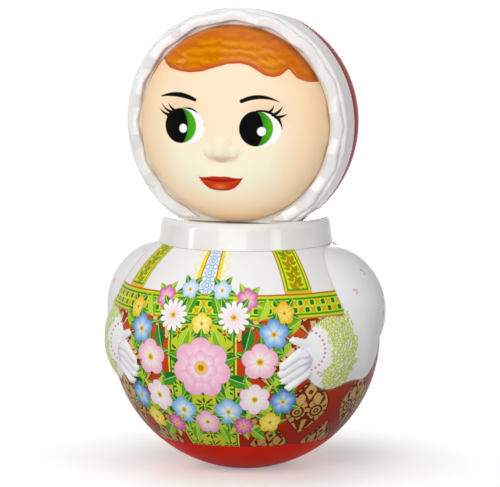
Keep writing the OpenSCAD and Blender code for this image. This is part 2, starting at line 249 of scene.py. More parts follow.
def places(bm):
    return np.array([v.co for v in bm.verts]) / mm


def moveTo(bm, points):
    for vert, point in zip(bm.verts, points):
        vert.co = Vector(point) * mm


def keepValues(bm, **values):  # values on the mesh's points, which its paint reads
    for name, row in values.items():
        layer = bm.verts.layers.float.new(name)
        for vert, value in zip(bm.verts, row):
            vert[layer] = value


def clearCollar(points):  # lifts what would dip into the collar under the turning head
    reach = np.hypot(points[:, 0], points[:, 1])
    floor = np.interp(reach, [dishR, rimR], [dishZ, collarTop]) + doll["turnGap"]
    points[:, 2] = np.maximum(points[:, 2], floor)
    return points


def makePiece(name, bm, finish, body, nodes, sharp=35):
    bmesh.ops.recalc_face_normals(bm, faces=bm.faces)
    mesh = bpy.data.meshes.new(name)
    bm.to_mesh(mesh)
    bm.free()
    mesh.shade_smooth()
    mesh.set_sharp_from_angle(angle=math.radians(sharp))
    mesh.materials.append(finish)
    piece = bpy.data.objects.new(name, mesh)
    bpy.context.scene.collection.objects.link(piece)
    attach(piece, body)
    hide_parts(*nodes)
    print(name, len(mesh.polygons), "faces")


def softMin(a, b, k):
    return np.minimum(a, b) - np.maximum(k - np.abs(a - b), 0) ** 2 / (4 * k)


def softMax(a, b, k):
    return -softMin(-a, -b, k)


# camera: mm to a pixel, the pixel column of the doll's axis and the row of the body's middle
photo = {
    "wide": 500, "tall": 487, "azimuth": 19, "elevation": 7, "distance": 2.6,
    "pixel": 0.6045, "axisAcross": 245.7, "middleDown": 334,
}


def lineOut(turn, rise):  # direction out from the doll, turned from the front and raised
    a, e = math.radians(turn), math.radians(rise)
    return Vector((math.sin(a) * math.cos(e), -math.cos(a) * math.cos(e), math.sin(e)))


def placeCamera():
    turn = math.radians(photo["azimuth"])
    right = Vector((math.cos(turn), math.sin(turn), 0))
    back = lineOut(photo["azimuth"], photo["elevation"])
    up = back.cross(right)
    size = photo["pixel"] * mm
    aim = Vector((0, 0, centreH * mm)) + right * (photo["wide"] / 2 - photo["axisAcross"]) * size
    aim += up * (photo["middleDown"] - photo["tall"] / 2) * size
    lens = bpy.data.cameras.new("camera")
    lens.sensor_fit = "HORIZONTAL"
    lens.sensor_width = 36
    lens.lens = lens.sensor_width * photo["distance"] / (photo["wide"] * size)
    lens.clip_end = 50
    camera = bpy.data.objects.new("camera", lens)
    turned = Matrix((right, up, back)).transposed().to_4x4()
    camera.matrix_world = Matrix.Translation(aim + back * photo["distance"]) @ turned
    bpy.context.scene.collection.objects.link(camera)
    bpy.context.scene.camera = camera


placeCamera()

# light, floor and background
studio = {
    "ambient": 0.14, "room": 0.06, "floorSize": 12, "floorTone": 0.9, "bounceTone": 0.6, "floorGlow": 0.3,
    "whiteFrom": (75, 160), "aimHeight": 0.14,
    "lamps": [  # turn from the front, rise, distance, width, height, power
        (-58, 10, 1.3, 0.2, 1.0, 3.6),
        (60, 10, 1.3, 0.28, 1.0, 3.8),
        (2, 24, 2.4, 1.6, 1.6, 32.5),
        (-10, 80, 1.6, 1.2, 1.2, 6.0),
        (199, 14, 2.0, 0.6, 0.8, 15.0),
    ],
}


def setLamps():
    for number, (turn, rise, far, wide, tall, power) in enumerate(studio["lamps"]):
        light = bpy.data.lights.new(f"lamp{number}", "AREA")
        light.shape = "RECTANGLE"
        light.size = wide
        light.size_y = tall
        light.energy = power
        lamp = bpy.data.objects.new(f"lamp{number}", light)
        back = lineOut(turn, rise)
        lamp.location = Vector((0, 0, studio["aimHeight"])) + back * far
        lamp.rotation_euler = back.to_track_quat("Z", "Y").to_euler()
        bpy.context.scene.collection.objects.link(lamp)


def rayKinds(tree):  # what the camera sees, and what gloss or glass shows
    rays = tree.nodes.new("ShaderNodeLightPath")
    kinds = [Sock(tree, rays.outputs[f"Is {kind} Ray"]) for kind in ("Camera", "Glossy", "Transmission")]
    return kinds[0], kinds[1].most(kinds[2])


def setWorld():  # a white backdrop behind the doll, a dim room on the camera's side
    bpy.context.scene.view_settings.view_transform = "Standard"
    world = bpy.data.worlds.new("studio")
    bpy.context.scene.world = world
    world.use_nodes = True
    tree = world.node_tree
    seen, shiny = rayKinds(tree)
    aim = Sock(tree, tree.nodes.new("ShaderNodeTexCoord").outputs["Generated"])
    split = aim.add("ShaderNodeSeparateXYZ", {}, {0: aim}, 1)
    backdrop = split.ease(0.0, 0.5) * (1 - studio["room"]) + studio["room"]
    level = seen.most(shiny * backdrop).most((1 - shiny) * studio["ambient"])
    tree.links.new(level.out, tree.nodes["Background"].inputs["Strength"])
    tree.nodes["Background"].inputs["Color"].default_value = (1, 1, 1, 1)


def setFloor():  # pale, white where nothing shades it
    bm = bmesh.new()
    bmesh.ops.create_grid(bm, x_segments=8, y_segments=8, size=studio["floorSize"])
    mesh = bpy.data.meshes.new("floor")
    bm.to_mesh(mesh)
    bm.free()
    floor = bpy.data.objects.new("floor", mesh)
    bpy.context.scene.collection.objects.link(floor)
    pale = (studio["floorTone"],) * 3 + (1,)
    dim = (studio["bounceTone"],) * 3 + (1,)
    finish, shader, place = newFinish("paleFloor", Base_Color=pale, Roughness=0.9, Specular_IOR_Level=0.0)
    tree = finish.node_tree
    x, y, z = axesOf(place)
    far = lengthOf(x, y).ease(*studio["whiteFrom"])
    seen, shiny = rayKinds(tree)
    glow = place.add("ShaderNodeEmission", {}, {0: (1, 1, 1, 1), 1: studio["floorGlow"]})
    near = place.add("ShaderNodeAddShader", {}, {0: Sock(tree, shader.outputs[0]), 1: glow})
    white = place.add("ShaderNodeEmission", {}, {0: (1, 1, 1, 1), 1: 1.0})
    mixed = place.add("ShaderNodeMixShader", {}, {0: far, 1: near, 2: white})
    bounce = place.add("ShaderNodeBsdfDiffuse", {}, {0: dim})
    mixed = place.add("ShaderNodeMixShader", {}, {0: seen.most(shiny), 1: bounce, 2: mixed})
    tree.links.new(mixed.out, tree.nodes["Material Output"].inputs["Surface"])
    mesh.materials.append(finish)


setLamps()
setWorld()
setFloor()
print("studio set")

# plain finishes
whitePlastic = plasticFinish("whitePlastic", "EFEEEB", "E9E8E4", 0.12, 0.4)
frillPlastic = plasticFinish("frillPlastic", "F3F2F2", "ECEBEC", 0.2)
bonnetRed = plasticFinish("bonnetRed", "B4141A", "A81217", 0.25, 0.01, (15, 40))
bowlRed = plasticFinish("bowlRed", "EC2E18", "E22614", 0.35, 0.01)
neckPlastic = plasticFinish("neckPlastic", "E2E0D8", "D6D3C8", 0.3)
chimePlastic = plasticFinish("chimePlastic", "E8DFC4", "DBCFAE", 0.35)
clipSteel = metalFinish("clipSteel", "C4C6C8", "A9ACB0", 0.3, 120.0, 0.05)
screwSteel = metalFinish("screwSteel", "CDC9B8", "B5B09A", 0.32, 160.0, 0.05)
rodSteel = metalFinish("rodSteel", "D2D4D6", "BFC2C6", 0.2, 200.0, 0.03)
weightIron = metalFinish("weightIron", "5A5856", "3E3C3A", 0.6, 90.0, 0.35)
hammerBrass = metalFinish("hammerBrass", "D9B45A", "B98F3A", 0.28, 140.0, 0.05)

# inner CAD pieces keep their meshes
innerFinish = {
    "neck_stem": neckPlastic, "neck_clip": clipSteel, "counterweight": weightIron,
    "weight_screws": screwSteel, "chime_base": chimePlastic, "chime_post": chimePlastic,
    "hammer_pins": rodSteel,
}
for number in range(1, 5):
    innerFinish[f"tone_rod_{number}"] = rodSteel
    innerFinish[f"hammer_{number}"] = hammerBrass
for name, finish in innerFinish.items():
    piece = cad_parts[name]
    for index in range(len(piece.data.materials)):
        piece.data.materials[index] = finish

# bowl
bowl = {
    "steps": 160, "seam": 0.25, "lipGap": 0.15, "lipTall": 5, "lipDeep": 3, "lipEase": 0.5, "floorR": 24,
}


def makeBowl():
    r, wall = doll["bodyR"], doll["bowlWall"]
    split, seam = doll["split"], bowl["seam"]
    innerR, lipTop, lipFoot = r - wall, split + bowl["lipTall"], split - bowl["lipDeep"]
    lip = math.sqrt(roomR ** 2 - (roomZ - split) ** 2) - bowl["lipGap"]
    low = math.degrees(math.asin(-centreH / r))
    high = math.degrees(math.asin((split - seam - centreH) / r))
    section = [(0, 0)] + arcPoints(0, centreH, r, low, high, 22)
    section += [(section[-1][0] - seam, split), (lip, split), (lip, lipTop)]
    section += [(lip - wall, lipTop), (lip - wall, lipFoot)]
    inLow = math.degrees(math.acos(bowl["floorR"] / innerR))
    inHigh = math.degrees(math.asin((centreH - lipFoot + bowl["lipEase"]) / innerR))
    section += arcPoints(0, centreH, innerR, -inHigh, -inLow, 10)
    section.append((0, centreH - math.sqrt(innerR ** 2 - bowl["floorR"] ** 2)))
    makePiece("bowlShell", spun(section, bowl["steps"]), bowlRed, "root", ["base_bowl"])


makeBowl()

# collar
collar = {
    "steps": 192, "wall": 3, "foot": 0.5, "mouthGap": 0.15, "plugDeep": 5, "stemHole": 14.05,
    "sideShares": (0.3, 0.6, 0.9), "lip": (0.6, 0.15), "bend": (0.8, 0.3), "bendIn": 0.4,
}


def makeCollar():
    wide, topR, ease = doll["collarR"], doll["collarR"] - doll["collarTaper"], doll["collarRound"]
    mouth = math.sqrt(roomR ** 2 - (collarZ - roomZ) ** 2) - collar["mouthGap"]
    wall, foot, hole = collar["wall"], collar["foot"], collar["stemHole"]
    plugZ = collarZ - collar["plugDeep"]
    section = [(wide - foot, collarZ), (wide, collarZ + foot)]
    straight = doll["collarH"] - ease
    section += [(wide - (wide - topR) * t, collarZ + straight * t) for t in collar["sideShares"]]
    section += arcPoints(rimR, collarTop - ease, ease, 4, 90, 14)
    (lipIn, lipDown), (bendOut, bendUp) = collar["lip"], collar["bend"]
    section += [(rimR - lipIn, collarTop - lipDown), (dishR + bendOut, dishZ + bendUp)]
    section.append((dishR - collar["bendIn"], dishZ))
    section += [(hole, dishZ), (hole, dishZ - wall), (mouth - wall, dishZ - wall)]
    section += [(mouth - wall, plugZ), (mouth, plugZ), (mouth, collarZ)]
    ring = spun(section, collar["steps"])
    makePiece("collarRing", ring, whitePlastic, "root", ["collar"], 50)


makeCollar()

# bonnet
bonnet = {"steps": 192, "seam": 0.3, "faceGap": 0.15, "rimEase": 0.5, "arcStep": 0.5}


def makeBonnet():
    r, wall, seam = doll["headR"], doll["headWall"], bonnet["seam"]
    front, back = doll["frontY"], -doll["seamY"]
    rimTurn = math.degrees(math.asin(front / r))
    seamTurn = math.degrees(math.asin((back + seam) / r))
    hole = faceR + bonnet["faceGap"]
    section = [(hole, front), (r * math.cos(math.radians(rimTurn)) - bonnet["rimEase"], front)]
    section += arcPoints(0, 0, r, rimTurn - bonnet["arcStep"], seamTurn, 14)
    section += [(r - seam, back), (r - wall, back)]
    section += arcPoints(0, 0, r - wall, seamTurn, math.degrees(math.asin((front - wall) / (r - wall))), 10)
    section += [(hole, front - wall)]
    white = spun([(a, b - headY) for a, b in section], bonnet["steps"], False)
    moveTo(white, clearCollar(places(white)))
    makePiece("bonnetBand", white, whitePlastic, "head", ["bonnet_front"])
    start = math.degrees(math.asin((back - seam) / r))
    section = [(r - wall, back), (r - seam, back)] + arcPoints(0, 0, r, start, -90, 48)
    section += [(0, -r + wall)] + arcPoints(0, 0, r - wall, bonnet["arcStep"] - 90, start, 28)
    red = spun([(abs(a), b - headY) for a, b in section], bonnet["steps"], False)
    moveTo(red, clearCollar(places(red)))
    makePiece("bonnetCrown", red, bonnetRed, "head", ["bonnet_back"])


makeBonnet()

# frill
frill = {
    "pleats": 16, "perPleat": 20, "faceGap": 1.55, "wide": 6.6, "thick": 4.0,
    "swing": 1.2, "lift": 1.5, "long": 0.65, "phase": 0.3,
}


def makeFrill():
    inner = faceR + frill["faceGap"]
    wide, thick = frill["wide"], frill["thick"]
    shares = [(0, 0), (0, 0.7), (0.03, 0.86), (0.12, 0.96), (0.3, 1), (0.55, 1), (0.75, 0.96), (0.9, 0.84),
              (0.98, 0.66), (1, 0.5), (1, 0)]
    section = [(inner + wide * a, thick * b - faceY) for a, b in shares]
    ring = spun(section, frill["pleats"] * frill["perPleat"], False)
    points = places(ring)
    turn = np.arctan2(points[:, 2] - headZ, points[:, 0])
    reach = np.hypot(points[:, 2] - headZ, points[:, 0])
    phase = (turn * frill["pleats"] / math.tau + frill["phase"]) % 1
    fold = np.interp(phase, [0, frill["long"], 1], [-1, 1, -1])
    forward = (faceY - points[:, 1]) / thick
    out = reach + frill["swing"] * np.interp(phase, [0, frill["long"] / 2, frill["long"], 1], [0, 1, 0, 0])
    points[:, 0] = out * np.cos(turn)
    points[:, 2] = headZ + out * np.sin(turn)
    points[:, 1] -= frill["lift"] * fold * np.clip(forward * 2, 0, 1)
    moveTo(ring, points)
    every = ring.verts[:] + ring.edges[:] + ring.faces[:]
    floor = (0, 0, (collarTop + doll["turnGap"]) * mm)
    cut = bmesh.ops.bisect_plane(ring, geom=every, plane_co=floor, plane_no=(0, 0, -1), clear_outer=True)
    rim = [e for e in cut["geom_cut"] if isinstance(e, bmesh.types.BMEdge)]
    bmesh.ops.holes_fill(ring, edges=rim, sides=0)
    makePiece("bonnetFrill", ring, frillPlastic, "head", ["bonnet_frill"], 9)


makeFrill()
print("bonnet made")

# face: dome, then features pushed out of it, in mm: across and up from the middle, spread, rise
face = {
    "steps": 384, "rings": 96, "edge": 0.27, "edgeTurn": 74, "skin": 0.4, "rimKeep": 0.02,
    "noseTip": (0.0, -12.9, 8.0, 5.2), "noseWings": (6.6, -14.6, 4.6, 2.6), "noseBlend": (3.0, 2.5),
    "bridge": {"wide": 4.0, "flare": 2, "out": 3.6, "long": 20, "foot": 8},
    "mouth": (-1.6, -30.2, 14.2), "bow": (0.2, 16, 0.5), "lipEdges": (0.3, -2.6, -8.2), "lipOut": 1.7,
    "chin": (0, -43.0, 10.0, 2.6), "cheeks": (30.0, -20.0, 15.0, 1.8), "sockets": (25.0, 1.5, 11.0, 1.0),
}
# fringe: its lower edge across and up, its swell, strands and the groove along the bonnet
fringe = {
    "edge": [
        (-60, 13), (-55, 20), (-50, 27.4), (-46, 33.6), (-43.6, 37.2), (-42.2, 38.1), (-40.6, 36.3),
        (-36.5, 33.3), (-30, 31.8), (-22.3, 31.1), (-14, 32), (-6, 34.5), (2, 36.8), (9.5, 37.3),
        (15, 36.2), (20, 33.4), (25, 30.5), (29.9, 29.5), (33.5, 30.4), (36.4, 32.9), (37.9, 34.6),
        (39.4, 32.6), (43, 28.8), (48.6, 26.6), (52, 26.2), (60, 26.8),
    ],
    "out": 2.0, "swell": 2.2, "strand": 0.22, "strandPitch": 1.55, "strandLean": 0.09, "strandFrom": 4,
    "groove": 0.75, "grooveIn": 7.2, "grooveSway": 1.2, "grooveWave": 0.07, "grooveWide": 0.9,
    "grooveFrom": 1.5, "rimFade": 1.5,
}


def domeDepth(reach):
    edgeR = faceR * face["edge"]
    edgeX = faceR - edgeR
    deep = doll["faceDepth"]
    crownR = (edgeX ** 2 + deep ** 2 - edgeR ** 2) / (2 * (deep - edgeR))
    joinX = edgeX * crownR / (crownR - edgeR)
    crown = deep - crownR + np.sqrt(np.maximum(crownR ** 2 - reach ** 2, 0))
    edge = np.sqrt(np.maximum(edgeR ** 2 - (reach - edgeX) ** 2, 0))
    return np.where(reach < joinX, crown, edge)


def hairDistance(across, up):  # mm above the fringe's edge, across its slope
    xs, zs = np.array(fringe["edge"]).T
    fine = np.linspace(xs[0], xs[-1], 481)
    line = np.interp(fine, xs, zs)
    for _ in range(6):
        line = np.convolve(np.pad(line, 1, "edge"), [0.25, 0.5, 0.25], "valid")
    slope = np.gradient(line, fine)
    edge = np.interp(across, fine, line)
    tilt = np.interp(across, fine, slope)
    return (up - edge) / np.sqrt(1 + tilt ** 2)


def hairRelief(across, above, rim):
    swell = fringe["out"] * np.clip(above / fringe["swell"], 0, 1) ** 0.5
    strand = np.sin(above * fringe["strandPitch"] + across * fringe["strandLean"])
    strand = fringe["strand"] * strand * np.clip(above / fringe["strandFrom"], 0, 1)
    away = rim - fringe["grooveIn"] - fringe["grooveSway"] * np.sin(across * fringe["grooveWave"])
    groove = fringe["groove"] * np.exp(-(away / fringe["grooveWide"]) ** 2) * (above > fringe["grooveFrom"])
    fade = np.clip(rim / fringe["rimFade"], 0, 1) ** 0.5
    return np.where(above > 0, swell + strand - groove, 0) * fade


def hump(across, up, middle, spread):
    return np.exp(-((across - middle[0]) ** 2 + (up - middle[1]) ** 2) / (2 * spread ** 2))


def ball(across, up, middle, radius, level):
    flat = (across - middle[0]) ** 2 + (up - middle[1]) ** 2
    return np.where(flat < radius ** 2, level - radius + np.sqrt(np.maximum(radius ** 2 - flat, 0)), -50)


def mouthEdges(taper, side):  # top of the upper lip, parting and foot of the lower lip, from the corners
    middle, sharp, rise = face["bow"]
    upper, part, lower = face["lipEdges"]
    bow = (side - middle) * (side - middle) * -sharp + rise
    return taper * upper + bow * taper * upper, taper * part, (1 - side * side * side) * lower


def faceRelief(across, up):
    reach = np.hypot(across, up)
    depth = domeDepth(reach)
    x, z, r, out = face["noseTip"]
    wingX, wingZ, wingR, wingOut = face["noseWings"]
    level = domeDepth(abs(z))
    side = np.abs(across)
    depth = depth + face["cheeks"][3] * hump(side, up, face["cheeks"][:2], face["cheeks"][2])
    depth = depth - face["sockets"][3] * hump(side, up, face["sockets"][:2], face["sockets"][2])
    depth = depth + face["chin"][3] * hump(across, up, face["chin"][:2], face["chin"][2])
    tip = ball(across, up, (x, z), r, level + out)
    wings = ball(side, up, (wingX, wingZ), wingR, level + wingOut)
    bridge = face["bridge"]
    share = np.clip((up - z) / bridge["long"], 0, 1)
    fade = np.clip((up - z + bridge["foot"]) / bridge["foot"], 0, 1)
    ridge = np.exp(-(across / (bridge["wide"] + bridge["flare"] * share)) ** 2)
    depth = depth + bridge["out"] * fade * (1 - share) ** 1.2 * ridge
    tipBlend, wingBlend = face["noseBlend"]
    depth = softMax(softMax(depth, tip, tipBlend), wings, wingBlend)
    mx, mz, half = face["mouth"]
    along = np.clip((across - mx) / half, -1, 1)
    taper = 1 - along ** 2
    top, part, low = mouthEdges(taper, np.abs(along))
    upper = (up - (mz + part)) * (mz + top - up) / np.maximum((top - part) / 2, 0.1) ** 2
    lower = (up - (mz + low)) * (mz + part - up) / np.maximum((part - low) / 2, 0.1) ** 2
    lips = np.sqrt(np.maximum(np.maximum(upper * 0.7, lower), 0)) * face["lipOut"] * taper ** 0.5
    return depth + lips


def makeFace():
    wall = doll["headWall"]
    edgeR = faceR * face["edge"]
    fine = np.linspace(0, faceR - edgeR, 400)
    outer = list(zip(fine, domeDepth(fine)))
    outer = np.array(outer + arcPoints(faceR - edgeR, 0, edgeR, face["edgeTurn"], 0, 120))
    outer = outer[np.concatenate([[True], np.diff(outer[:, 0]) > 0])]
    rings = list(zip(*evenPoints(*outer.T, face["rings"])))
    inner = [(r * (faceR - wall) / faceR, max(d - wall, 0)) for r, d in rings[::-5]]
    section = rings + [(faceR, -wall), (faceR - wall, -wall)] + inner
    bm = spun([(r, d - faceY) for r, d in section], face["steps"], False)
    bmesh.ops.recalc_face_normals(bm, faces=bm.faces)
    points = places(bm)
    across, up = points[:, 0], points[:, 2] - headZ
    reach = np.hypot(across, up)
    outside = (faceY - points[:, 1]) > domeDepth(reach) - face["skin"]
    outside &= reach < faceR - face["rimKeep"]
    above = hairDistance(across, up)
    rim = faceR - reach
    relief = faceRelief(across, up) + hairRelief(across, above, rim)
    points[outside, 1] = (faceY - relief)[outside]
    keepValues(bm, hair=np.where(outside, above, -5), rim=rim)
    moveTo(bm, clearCollar(points))
    makePiece("faceMask", bm, faceFinish(), "head", ["face_shell"], 60)


# face paint, in mm from the face's middle; each eye: iris, pupil, white, highlight
eyes = [
    {"iris": (-26.6, -0.4, 10.6, 10.3), "pupil": (-31.0, -0.8, 9.3, 13.0),
     "white": (-21.2, -0.5, 10.6, 10.2), "light": (-24.8, -1.9, 2.6)},
    {"iris": (21.1, -0.7, 9.9, 10.4), "pupil": (16.1, -1.2, 9.3, 13.0),
     "white": (25.8, -0.7, 10.0, 10.4), "light": (24.4, -2.3, 2.6)},
]
# strokes: three points and the widths at the start, middle and end
strokes = [
    ((-41.0, 16.3), (-29.6, 20.0), (-17.3, 15.3), 0.25, 1.45, 1.05),
    ((34.2, 15.0), (22.8, 20.6), (12.4, 15.4), 0.15, 1.2, 1.3),
    ((-35.4, 5.1), (-30.4, 11.1), (-19.4, 9.8), 1.1, 0.9, 0.6),
    ((-19.4, 9.8), (-13.2, 8.2), (-10.6, 0.2), 0.6, 0.45, 0.1),
    ((21.4, 9.6), (30.2, 10.4), (34.4, 4.4), 0.6, 0.9, 0.9),
    ((33.2, 6.0), (35.6, 3.0), (36.2, -1.2), 0.9, 0.6, 0.1),
    ((-33.4, 5.5), (-37.8, 5.5), (-41.6, 8.9), 0.9, 0.75, 0.15),
    ((-32.4, 7.3), (-36.6, 7.5), (-40.2, 12.0), 0.9, 0.75, 0.15),
    ((-30.6, 8.1), (-33.2, 9.1), (-35.4, 12.3), 0.9, 0.75, 0.15),
    ((28.0, 9.0), (30.2, 9.6), (31.0, 12.9), 0.8, 0.7, 0.15),
    ((30.6, 7.4), (34.2, 8.6), (35.9, 12.2), 0.9, 0.75, 0.15),
    ((32.2, 6.2), (35.6, 6.0), (38.6, 8.0), 0.9, 0.75, 0.15),
]


def ellipse(across, up, middle, wide, high):
    a = (across - middle[0]) / wide
    b = (up - middle[1]) / high
    return (1 - lengthOf(a, b)) * min(wide, high)


def strokeMask(across, up, start, bend, stop, *widths):  # a bent stroke of changing width
    sx, sz = stop[0] - start[0], stop[1] - start[1]
    size = sx * sx + sz * sz
    along = ((across - start[0]) * sx + (up - start[1]) * sz) / size
    along = along.most(0.0).least(1.0)
    rest = 1 - along
    hold = along * rest * 2
    px = rest * rest * start[0] + hold * bend[0] + along * along * stop[0]
    pz = rest * rest * start[1] + hold * bend[1] + along * along * stop[1]
    first, middle, last = widths
    bulge = 2 * middle - (first + last) / 2
    width = rest * rest * first + hold * bulge + along * along * last
    return width - lengthOf(across - px, up - pz)


def faceFinish():
    finish, shader, place = newFinish("facePaint", Specular_IOR_Level=0.03, Coat_Roughness=0.08)
    x, y, z = axesOf(place)
    up = z - headZ
    side = abs(x)
    reach = lengthOf(x, up)
    skin = colourFrom(place, noise(place, 30.0), ink("FDE9CC"), ink("FCE4C4"))
    # painted light: a pale cream over the face from the eyes down, lifting the lower face that turns away
    # from the lamps
    skin = skin.over((-up).ease(-5, 25) * 0.75, ink("FFFBE2"))
    # painted shade: deeper peach towards the face's rim, where the dome turns away from the light
    skin = skin.over(reach.ease(34, 59) * 0.55, ink("FFCE98"))
    glow = ellipse(side, up, (44, -20), 20, 24).ease(0, 16)
    skin = skin.over(glow * 0.15, ink("FFC48E"))
    # painted shade: tan shading over the eye sockets and eyelid creases
    lidShade = ellipse(side, up, (27, 8), 17, 13).ease(0, 9)
    skin = skin.over(lidShade * 0.35, ink("EDB883"))
    # painted shadow under the nose
    noseShadow = ellipse(x, up, (0, -19.5), 13, 3.4).ease(0, 3)
    skin = skin.over(noseShadow * 0.45, ink("E3A876"))
    # painted shade: deeper peach under the chin, which faces down
    chin = (-up).ease(40, 58)
    skin = skin.over(chin * 0.2, ink("FFC48C"))
    mx, mz, half = face["mouth"]
    along = (x - mx) / half
    taper = (1 - along * along).most(0.0)
    top, part, low = mouthEdges(taper, abs(along))
    line = up - mz - part
    mouth = (top + mz - up).least(up - mz - low).least((1 - abs(along)) * half).soft(0.3)
    # painted highlight: the middle of the lower lip is paler
    lipHighlight = ellipse(x, up, (mx, mz - 5.6), 6.5, 2.2).ease(0, 2.0)
    lips = colourFrom(place, lipHighlight, ink("CE3A16"), ink("E0753A"))
    lips = lips.over((line + 0.2).soft(0.5), ink("B72A10"))
    lips = lips.over(line.between(-0.3, 0.3, 0.25) * 0.7, ink("7E1A08"))
    skin = skin.over(mouth, lips)
    for eye in eyes:
        (ix, iz, iw, ih), (px, pz, pw, ph), (wx, wz, ww, wh) = eye["iris"], eye["pupil"], eye["white"]
        iris = ellipse(x, up, (ix, iz), iw, ih)
        skin = skin.over(ellipse(x, up, (wx, wz), ww, wh).soft(0.2), ink("FDFDFB"))
        green = colourFrom(place, (x - ix).ease(2, 9), ink("2C8A10"), ink("4DB01C"))
        skin = skin.over(iris.soft(0.2), green)
        skin = skin.over(iris.least(ellipse(x, up, (px, pz), pw, ph)).soft(0.2), ink("060506"))
        lx, lz, lr = eye["light"]
        skin = skin.over(ellipse(x, up, (lx, lz), lr, lr).soft(0.2), ink("FFFFFF"))
    marks = None
    for stroke in strokes:
        mark = strokeMask(x, up, *stroke)
        marks = mark if marks is None else marks.most(mark)
    skin = skin.over(marks.soft(0.16), ink("0A0707"))
    above = pointValue(place, "hair")
    rim = pointValue(place, "rim")
    bands = {"Vector": place, "Scale": 60.0, "Distortion": 6.0, "Detail": 2.0, "Detail Scale": 1.5}
    flow = place.add("ShaderNodeTexWave", {"wave_type": "BANDS", "bands_direction": "Z"}, bands, 1)
    hair = colourFrom(place, flow, ink("CC7000"), ink("E28C00"))
    hair = hair.over((1 - above.ease(0.3, 5.0)) * 0.85, ink("CC5420"))
    # painted shade: the hair turns darker and redder towards the rim, beside and under the frill
    hair = hair.over((1 - rim.ease(5.5, 9.0)) * 0.6, ink("D2661C"))
    hair = hair.over((1 - rim.ease(0.0, 2.0)) * 0.6, ink("A84A12"))
    skin = skin.over(above.soft(0.15), hair)
    feed(place, shader, Base_Color=skin, Coat_Weight=above.soft(0.3) * 0.22)
    feed(place, shader, Roughness=noise(place, 500.0, 3.0) * 0.06 + 0.36 - above.soft(0.2) * 0.2)
    grain(place, shader, 600.0, 0.02, 0.0001)
    return finish


makeFace()
print("face made")

# body: arms traced onto the round, in shares of the body's radius and turns from the front
arms = {
    "steps": 432, "rings": 138, "sleeve": (90, 0.205, 0.5, 5.45),
    "bell": ((59, -0.02), (80, 0.0), 0.42, 5.0), "wrist": (50, 0.02), "wristShare": 0.9,
    "palm": (44, -0.06, 0.13), "palmOut": 3, "fingerR": (3.2, 2.5), "fingerLen": 13.0,
    "knuckles": [(42, -0.01), (42, -0.07), (43, -0.12), (45, -0.16)],
    "tips": [(36, -0.08), (34.5, -0.15), (34.5, -0.21), (37, -0.26)],
    "thumb": (39, 0.09), "sink": 0.6, "inset": 0.002, "seam": 0.25, "skin": 0.3, "footKeep": 1,
    "topKeep": 0.01, "foot": 30, "turns": (0.4, 2.5),
    "probeFrom": 96.0, "probeIn": 5, "probeSteps": 60, "probeShare": 0.85,
    "shoulderBlend": 2.5, "sleeveBlend": 1.6, "fingerBlend": 0.5, "handBlend": 0.7, "bodyBlend": 1.0,
}


def roundAt(turn, share, far):
    t = math.radians(turn)
    return np.array([far * math.sin(t), -far * math.cos(t), centreH + doll["bodyR"] * share])


def rodGap(points, a, b, ra, rb):
    run = b - a
    t = np.clip((points - a) @ run / (run @ run), 0, 1)
    return np.linalg.norm(points - a - t[:, None] * run, axis=1) - (ra + (rb - ra) * t)


def armGaps(points):
    r = doll["bodyR"]
    p = points.copy()
    p[:, 0] = np.abs(p[:, 0])
    turn, share, size, out = arms["sleeve"]
    sleeve = np.linalg.norm(p - roundAt(turn, share, r + out - r * size), axis=1) - r * size
    near, far, size, out = arms["bell"]
    bellR = r * size
    bell = rodGap(p, roundAt(*near, r + out - bellR), roundAt(*far, r + out - bellR), bellR, bellR)
    cloth = softMin(sleeve, bell, arms["sleeveBlend"])
    turn, share, size = arms["palm"]
    palmR = r * size
    deep = r + arms["palmOut"] - palmR
    wrist, palm = roundAt(*arms["wrist"], deep), roundAt(turn, share, deep)
    hand = rodGap(p, wrist, palm, palmR * arms["wristShare"], palmR)
    thick, thin = arms["fingerR"]
    far = r - arms["sink"]
    rods = []
    for knuckle, tip in zip(arms["knuckles"], arms["tips"]):
        a = roundAt(*knuckle, far)
        aim = roundAt(*tip, far) - a
        b = a + aim * arms["fingerLen"] / np.linalg.norm(aim)
        rods.append(rodGap(p, a, b, thick, thin))
    rods.append(rodGap(p, roundAt(*arms["wrist"], far), roundAt(*arms["thumb"], far), thick, thin))
    for rod in rods:
        hand = softMin(hand, rod, arms["fingerBlend"])
    nearest = np.sort(np.array(rods), axis=0)
    return cloth, hand, nearest[1] - nearest[0]


def bodyRadius(z):
    low = np.sqrt(np.maximum(doll["bodyR"] ** 2 - (z - centreH) ** 2, 0))
    high = np.sqrt(np.maximum(shoulderR ** 2 - (z - shoulderZ) ** 2, 0))
    return softMin(low, high, arms["shoulderBlend"]) - arms["inset"]


